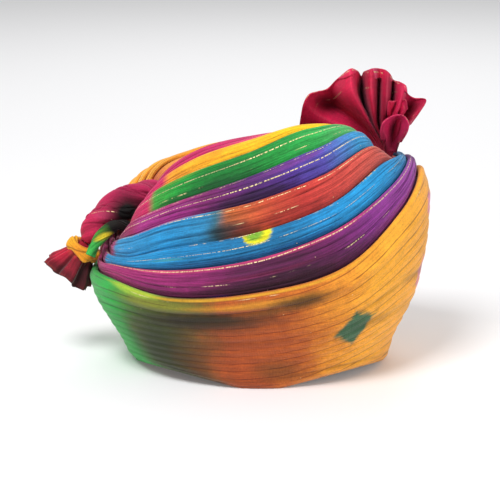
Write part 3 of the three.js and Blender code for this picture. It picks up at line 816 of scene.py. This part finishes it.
# %% Roll and strand pieces
roll_radius, strand_radius = 15, 5.5
roll_path = [
    [-80, 0, 141, roll_radius * 0.75],
    [-97, 0, 141, roll_radius * 0.95],
    [-114, 2, 133.1, roll_radius * 1.02],
    [-130, 1, 122.5, roll_radius],
    [-141, 0, 111, roll_radius * 0.78],
    [-146.5, 0, 101.6, roll_radius * 0.5],
]
strand_path = [
    [-108, -12, 116, strand_radius * 0.6],
    [-114, -16, 119.0, strand_radius * 0.95],
    [-121.5, -20, 119.8, strand_radius],
    [-130, -21, 114, strand_radius],
    [-137.5, -21.5, 105, strand_radius],
    [-142, -25, 95, strand_radius * 0.8],
]
# The darker start of the roll, where it goes into the hollow, is painted shade, and the pink patch is a
# painted highlight.
roll_dye_and_painted_light = dyed_cloth_with_painted_shade(
    "back_roll_dye",
    {0: "8a1240", 0.14: "c01c58", 0.4: "c8205a", 0.7: "cc2256", 1: "b8183c"},
    patches=[oval(0.55, 0.3, 0.1, 0.05, "d84878", 0.5, 0.6)],
    gold=[(0.35, 0.006, 0.3)],
    sheen=0.1,
    streaky=0.3,
)
# The near-black first half of the strand is painted shade where its upper end lies in the dark of the hollow.
strand_dye_and_painted_shade = dyed_cloth_with_painted_shade(
    "back_strand_dye",
    {0: "080306", 0.46: "100c06", 0.6: "4a7a20", 0.68: "4a9a34", 0.8: "36a042", 1: "3cae4c"},
    patches=[
        oval(0.64, 0.15, 0.12, 0.1, "dcc022", 0.85, 0.5), oval(0.75, 0.62, 0.18, 0.1, "ecc820", 0.8, 0.4),
        oval(0.6, 0.42, 0.1, 0.04, "1c5226", 0.8, 0.4),
    ],
    sheen=0.1,
)
# The roll gets painted shade round this place.
roll_pit = (-111, -14, 129, 20)  # where the roll dips behind the wraps
roll_mesh = twisted_mesh(
    "back_roll_cloth", roll_path, sides=170, steps=140, lobes=3, lobe_depth=0.2, twist=math.radians(300),
    crease_count=14, crease_depth=0.075, seed=5, pit=roll_pit,
)
strand_mesh = twisted_mesh(
    "back_strand_cloth", strand_path, sides=84, steps=110, lobes=2, lobe_depth=0.3, twist=math.radians(330),
    crease_count=6, crease_depth=0.12, seed=8,
)
add_piece("back_roll_cloth", roll_mesh, "back_roll", roll_dye_and_painted_light)
add_piece("back_strand_cloth", strand_mesh, "back_strand", strand_dye_and_painted_shade)

# %% [markdown]
# ## Knot and tail
# The knot is a fold of cloth bound once round the neck of the tail, so it is a ring with a lumpy section.
# The tail is gathered at that neck and opens out in deep pleats. It is a cup of cloth: down the outside of
# the pleats, round the hem and back up the inside.

# %% Knot and tail meshes
tail_neck = np.array([-148.5, 0.0, 96.0])
tail_axis = np.array([-0.58, 0.0, -0.81]) / math.hypot(0.58, 0.81)
tail_side = np.array([0.0, 1.0, 0.0])
tail_over = np.cross(tail_axis, tail_side)
tail_length, neck_radius, end_radius, tail_wall = 33, 7.4, 28, 2.4
knot_radius, knot_thickness = 11.5, 6.4
tail_pleats, tail_creases, pleat_share = 6, 19, 0.3


def knot_mesh():
    steps, sides = 200, 48
    spin = (np.arange(steps) / steps)[:, None] * TAU
    loop = (np.arange(sides) / sides)[None, :] * TAU
    out = np.cos(spin)[..., None] * tail_side + np.sin(spin)[..., None] * tail_over
    lumps = 1.05 + 0.28 * np.cos(4 * spin + 1) + 0.1 * np.cos(7 * spin)
    groove = np.exp(-((np.sin(1.5 * loop + 2.2 * np.sin(spin) + 0.6) / 0.2) ** 2))
    thick = knot_thickness / 2 * lumps * (1 - 0.26 * groove)
    outwards = out * (thick * np.cos(loop))[..., None]
    endwards = tail_axis * (thick * 1.6 * np.sin(loop) + 2.4)[..., None]
    points = tail_neck + out * knot_radius + outwards + endwards
    # The groove gets painted shade.
    return cloth_mesh("knot_cloth", points, ringed=True, crease=groove * 0.9 + 0 * thick)


def tail_mesh():
    sides, outer_rows, inner_rows = 260, 54, 30
    spin = (np.arange(sides) / sides)[None, :] * TAU
    share = np.concatenate([np.linspace(-0.1, 1, outer_rows), np.linspace(1, 0.3, inner_rows)])[:, None]
    inset = np.concatenate([np.zeros(outer_rows), np.full(inner_rows, tail_wall * 0.45)])[:, None]
    out = np.clip(share, 0, 1)
    opened = out**0.95 * (1 - 0.14 * smooth_step(out, 0.75, 1))
    radius = neck_radius + (end_radius - neck_radius) * opened - inset
    uneven = 0.5 * np.sin(spin * 2 + 1) + 0.35 * np.sin(spin * 3 + 0.4)
    pleat = (0.5 - 0.5 * np.cos(tail_pleats * spin + uneven * 2)) ** 1.4
    small = 0.5 - 0.5 * np.cos(tail_creases * spin + 2 * np.sin(3 * spin))
    depth = pleat_share * smooth_step(share, 0.0, 0.7)
    r = radius * (1 - depth * pleat - 0.07 * small * smooth_step(share, 0.02, 0.3))
    curl = 1.2 * np.sin(3 * spin + 1) * out**3 - 3.4 * (1 - pleat) * out**6
    points = (
        tail_neck
        + tail_axis * (tail_length * share * 0.97 + curl - 1.2)[..., None]
        + tail_side * (r * 0.85 * np.cos(spin))[..., None]
        + tail_over * (r * np.sin(spin))[..., None]
    )
    # Painted shade darkens the pleat valleys, fading out towards the neck.
    crease = np.clip(0.9 * pleat**2 + 0.25 * small, 0, 1) * smooth_step(share, 0.0, 0.3)
    return cloth_mesh("tail_cloth", points, ringed=False, crease=crease)


# %% Knot and tail pieces
knot_dye = dyed_cloth_with_painted_shade(
    "knot_dye",
    {0: "e8961c", 0.3: "f8b01e", 0.55: "e08a1c", 0.8: "f8bc24", 1: "e8961c"},
    patches=[oval(0.6, 0.5, 0.06, 0.2, "a0421a", 0.7, 0.5), oval(0.2, 0.5, 0.05, 0.2, "c8301c", 0.6, 0.5)],
)
# The near-black run on the inside of the cup and the first, near-black patch on the underside are painted
# shade.
tail_dye = dyed_cloth_with_painted_shade(
    "tail_dye",
    {0: "a81430", 0.3: "c01c3a", 0.56: "a41230", 0.6: "b03a3a", 0.64: "500a1a", 1: "20040c"},
    patches=[
        oval(0.36, 0.33, 0.34, 0.18, "26060c", 0.92, 0.6), oval(0.55, 0.5, 0.09, 0.3, "4a0814", 0.7, 0.7),
        oval(0.22, 0.58, 0.05, 0.05, "e04a3c", 0.6, 0.6),
    ],
    gold=[(0.3, 0.006, 0.5), (0.52, 0.006, 0.4)],
    streaky=0.3,
)
add_piece("knot_cloth", knot_mesh(), "knot", knot_dye)
tail = add_piece("tail_cloth", tail_mesh(), "tail", tail_dye)

# %% [markdown]
# ## Fan
# The fan is the starched end of the cloth, gathered at a neck and opened into a rosette of ruffles. It is
# one sheet from neck to hem whose ribs swing to the near and the far side in turn, with two smaller folded
# petals in front. The ribs are listed: for each one a point at its hem, one further in and one near
# the neck. A smooth surface through them gives the ruffles, and the Solidify modifier gives the cloth its
# thickness.

# %% Rib tables, in millimetres: hem, further in, near the neck
fan_ribs = np.array([
    [[33.8, 6, 191.1], [47.6, 8, 189.3], [71.2, 4, 185.1]],
    [[35.3, -6, 208.4], [49.3, 0, 200.9], [76.7, 2, 189.1]],
    [[37.2, -13, 221.2], [50.5, -2, 210.4], [80.1, 2, 194.1]],
    [[41.3, -12, 228.6], [54.6, 9, 214.7], [83, 5, 197]],
    [[48.4, -4, 229.6], [61.3, 14, 215.6], [85.4, 6, 199]],
    [[57, 4, 230.4], [66.5, 8, 218.2], [87.2, 3, 201]],
    [[63.9, -4, 239.1], [69, -8, 226.3], [88, -4, 203.8]],
    [[69.7, -12, 246.9], [72.7, -15, 231.1], [88.7, -8, 206]],
    [[75, -14, 250.6], [77.4, -15, 232.7], [89.7, -8, 207.1]],
    [[80.5, -4, 245.8], [82, 2, 225.9], [91.7, 1, 204.5]],
    [[84.5, 10, 239], [86.2, 15, 217.8], [93.5, 7, 201.9]],
    [[86.6, 4, 243.9], [88.1, 2, 224.5], [94.5, 1, 202.8]],
    [[90.3, -6, 248.7], [90.7, -13, 228.6], [95.3, -8, 204.6]],
    [[94.5, -4, 249.2], [95.2, -9, 226.5], [96.9, -6, 203.5]],
    [[99.3, 9, 246.7], [99.1, 12, 220.5], [99.1, 6, 200.4]],
    [[103.8, 2, 246.8], [101.2, -9, 226.5], [100.8, -5, 202.6]],
    [[107.5, -2, 243.8], [105.7, -12, 225.6], [102.7, -6, 201.4]],
    [[110.9, 9, 236.3], [109.6, 9, 219], [105.2, 5, 198.5]],
    [[115.2, -2, 237.7], [112.4, -8, 224.2], [106, -4, 199.3]],
    [[119.9, -8, 235.4], [115.7, -12, 221.9], [106.9, -6, 198.5]],
    [[122.2, 2, 226.3], [118.7, 6, 213.2], [109.3, 3, 195]],
    [[128.1, 8, 221.8], [122.9, 9, 211.2], [110.5, 4, 194]],
    [[136.7, 2, 221.5], [126.2, 2, 211.4], [111.4, 1, 193.6]],
    [[131.5, -4, 212.9], [124.4, -4, 205.9], [112.4, -2, 191.8]],
    [[124.7, 2, 200.9], [120.4, 2, 195.5], [113.2, 1, 188]],
])
hem_drop = {7: 5, 8: 6, 12: 9, 13: 10, 14: 9, 15: 10, 16: 7, 18: 5, 19: 6}  # how far the hem folds over
ruffle_ribs = np.array([
    [[105.4, -13, 211.9], [106.3, -10, 203.6]],
    [[105.4, -17, 222.8], [107.4, -12, 210.3]],
    [[108.8, -17, 223.6], [109.8, -6, 210.5]],
    [[113.4, -11, 222.8], [112.3, -2, 209.7]],
    [[116.7, -16, 224.3], [114.1, -10, 211.3]],
    [[119.2, -19, 224.6], [116, -14, 211.4]],
    [[120.7, -16, 217.3], [116.8, -12, 207.5]],
])
petal_ribs = np.array([
    [[100.2, -17, 192.3], [103.8, -13, 189.4]],
    [[99.5, -21, 200.8], [103.9, -17, 194.8]],
    [[101.4, -23, 207.8], [105.8, -14, 198.4]],
    [[106.5, -20, 211.1], [108.8, -7, 199.9]],
    [[112.9, -15, 212.4], [112.2, -2, 200.6]],
    [[118.4, -19, 211.5], [115.1, -8, 200.3]],
    [[121.3, -23, 206.7], [116.9, -14, 197.6]],
    [[120.4, -24, 200.5], [116.3, -17, 193.7]],
    [[116, -20, 191.2], [113.2, -14, 188.2]],
])


# %% Fan meshes
stem_foot, stem_neck = np.array([93.5, 0, 159.5]), np.array([104.5, 0, 180])
rib_swing, ripple_depth = 2.6, 0.16


def ribbed_mesh(name, stations, columns, rows):
    """A sheet over ribs, each a list of points from the stem to the hem."""
    grid = smooth_path(stations, columns)
    points = smooth_path(np.swapaxes(grid, 0, 1), rows)
    share = np.linspace(0, 1, rows)
    spread = np.linspace(0, 1, columns)
    bend = np.gradient(np.gradient(points[..., 1], axis=1), axis=1) * (columns / len(stations)) ** 2
    # Painted shade: darker in the valleys between the ribs and near the gathered neck, fading out at the hem.
    valley = np.clip(-bend / 60, 0, 1) * smooth_step(share, 0.15, 0.5)[:, None]
    hidden = 0.75 * (1 - smooth_step(share, 0.12, 0.62))[:, None]
    crease = np.clip(0.7 * valley + hidden, 0, 1) * (1 - 0.8 * smooth_step(share, 0.8, 0.95))[:, None]
    # a faint ripple, finer than the ribs
    ripple = ripple_depth * np.sin(TAU * (len(stations) * 1.1 * spread + 0.4 * np.sin(TAU * 3 * spread)))
    points[..., 1] += ripple[None, :] * (smooth_step(share, 0.2, 0.6) * (1 - 0.5 * share))[:, None]
    points = np.swapaxes(points, 0, 1)
    return cloth_mesh(name, points, ringed=False, closed=False, crease=crease.T)


def fan_cloth_mesh():
    deeper = fan_ribs * np.array([[1, 1, 1], [1, 1.35, 1], [1, 1.25, 1]])  # the inner points swing further
    stations = []
    for k, (hem, outer, mid) in enumerate(deeper):
        side = 2 * k / (len(deeper) - 1) - 1
        swing = rib_swing if k % 2 else -rib_swing
        foot = stem_foot + [4.2 * side, swing * 0.7, 0]
        neck = stem_neck + [7.2 * side, swing, 1 - 2 * abs(side)]
        out = (hem - outer) / np.linalg.norm(hem - outer)
        fold = [0, -4.5, -0.85 * hem_drop[k]] if k in hem_drop else [0, -1.5, 0]
        stations.append([foot, neck, mid, outer, hem, hem + out * 1.5 + fold])
    return ribbed_mesh("fan_cloth", stations, 460, 70)


def petal_mesh(name, ribs, neck, columns):
    stations = []
    for k, (hem, outer) in enumerate(ribs):
        side = 2 * k / (len(ribs) - 1) - 1
        start = np.array(neck) + [5 * side, 0, -abs(side)]
        mid = start * 0.45 + outer * 0.55 + [0, -1, 0]
        stations.append([start, mid, outer, hem, hem + (hem - outer) * 0.08 + [0, -1.2, 0]])
    return ribbed_mesh(name, stations, columns, 44)


fan_mesh = fan_cloth_mesh()
fan_ruffle = petal_mesh("fan_ruffle_cloth", ruffle_ribs, (108, -6, 184), 160)
fan_petal = petal_mesh("fan_petal_cloth", petal_ribs, (109, -9, 181), 200)

# %% Fan pieces
fan_runs = {
    0: "bc1040", 0.2: "c81442", 0.36: "cc1a46", 0.45: "b01038", 0.6: "c41442", 0.8: "bc1244", 1: "b41040",
}
# The dark patches are painted shade in the hollows of the ruffles, and the light ones painted highlight on
# the lit folds and hems.
fan_shade_and_highlight = [
    oval(0.155, 0.62, 0.06, 0.1, "6a0820", 0.75, 0.7), oval(0.1, 0.47, 0.08, 0.08, "e0285a", 0.5, 0.7),
    oval(0.415, 0.56, 0.04, 0.26, "2c0410", 0.9, 0.6), oval(0.55, 0.6, 0.03, 0.24, "7a0a26", 0.7, 0.6),
    oval(0.68, 0.6, 0.05, 0.22, "6c0a24", 0.75, 0.6), oval(0.9, 0.62, 0.04, 0.12, "5a0a1c", 0.7, 0.6),
    oval(0.25, 0.9, 0.09, 0.07, "d83060", 0.5, 0.6), oval(0.53, 0.92, 0.03, 0.1, "d4587e", 0.6, 0.7),
    oval(0.8, 0.9, 0.07, 0.07, "d02a58", 0.5, 0.6),
]
petal_runs = {0: "8a0e34", 0.25: "c0164e", 0.5: "c81a54", 0.75: "b81450", 1: "7a0c2c"}
# The dark middle is painted shade and the light hem painted highlight.
petal_shade_and_highlight = [
    oval(0.52, 0.45, 0.22, 0.2, "7a0c2e", 0.7, 0.7), oval(0.45, 0.95, 0.4, 0.07, "dc3468", 0.6, 0.6),
]
# The dark middle is painted shade and the light hem painted highlight.
ruffle_shade_and_highlight = [
    oval(0.5, 0.5, 0.12, 0.3, "5c0a20", 0.8, 0.6), oval(0.3, 0.95, 0.3, 0.08, "d83460", 0.6, 0.6),
]
fan_gold = [(0.9, 0.01, 0.7), (0.66, 0.006, 0.45)]
fan_sheen, fan_wall = (1.0, 0.3, 0.45, 1), 1.0 * MM
fan_finish = dict(gold=fan_gold, rough=0.55, sheen=0.2, bleed=0.02, streaky=0.15)
fan_sheets = [
    # name, mesh, dye runs, patches, hem and height in metres, flat area in square metres, what it rests on
    ("fan_cloth", fan_mesh, fan_runs, fan_shade_and_highlight, (0.285, 0.097), 0.0193, "inner_layers_cloth"),
    ("fan_ruffle_cloth", fan_ruffle, fan_runs, ruffle_shade_and_highlight, (0.043, 0.044), 0.0009, "fan_cloth"),
    ("fan_petal_cloth", fan_petal, petal_runs, petal_shade_and_highlight, (0.066, 0.033), 0.0012, "fan_cloth"),
]
for name, mesh, runs, patches, flat, area, under in fan_sheets:
    look = dyed_cloth_with_painted_shade(name + "_dye", runs, patches, **fan_finish)
    look.node_tree.nodes["Principled BSDF"].inputs["Sheen Tint"].default_value = fan_sheen
    piece = add_piece(name, mesh, "fan", look)
    thick = piece.modifiers.new("cloth wall", "SOLIDIFY")
    thick.thickness = fan_wall
    thick.offset = 0

# %% [markdown]
# ## Floor and light
# A plain pale floor and soft light from large lamps show the folds without hard shadows. The main light is
# high, in front and to the left, so every fold has a bright upper edge and a shaded lower part.

# %% Floor
floor_mesh = bpy.data.meshes.new("floor")
reach = 6.0
floor_corners = [(-reach, -reach, 0), (reach, -reach, 0), (reach, reach, 0), (-reach, reach, 0)]
floor_mesh.from_pydata(floor_corners, [], [(0, 1, 2, 3)])
floor = bpy.data.objects.new("floor", floor_mesh)
bpy.context.collection.objects.link(floor)
floor_look = Cloth("floor_paper")
floor_look.paint({"Base Color": (0.82, 0.82, 0.83, 1), "Roughness": 0.9})
floor_look.paint({"Emission Color": (1, 1, 1, 1), "Emission Strength": 0.1})
floor_mesh.materials.append(floor_look.material)


# %% Lights
def lamp(name, place, aim, size, power):
    data = bpy.data.lights.new(name, "AREA")
    data.size = size
    data.energy = power
    made = bpy.data.objects.new(name, data)
    made.location = place
    x, y, z = np.array(aim) - np.array(place)
    made.rotation_euler = (math.pi / 2 + math.atan2(z, math.hypot(x, y)), 0, math.atan2(-x, y))
    bpy.context.collection.objects.link(made)


lamp_aim = (0, 0, 0.1)
lamp("key_light", (-0.55, -1.05, 1.8), lamp_aim, 0.7, 35)
lamp("fill_light", (1.5, -1.3, 0.7), lamp_aim, 1.0, 11)
lamp("back_light", (0.2, 1.6, 1.5), lamp_aim, 1.2, 14)
world = bpy.data.worlds.new("studio")
bpy.context.scene.world = world
world.use_nodes = True
world.node_tree.nodes["Background"].inputs[0].default_value = (1, 1, 1, 1)
world.node_tree.nodes["Background"].inputs[1].default_value = 0.4
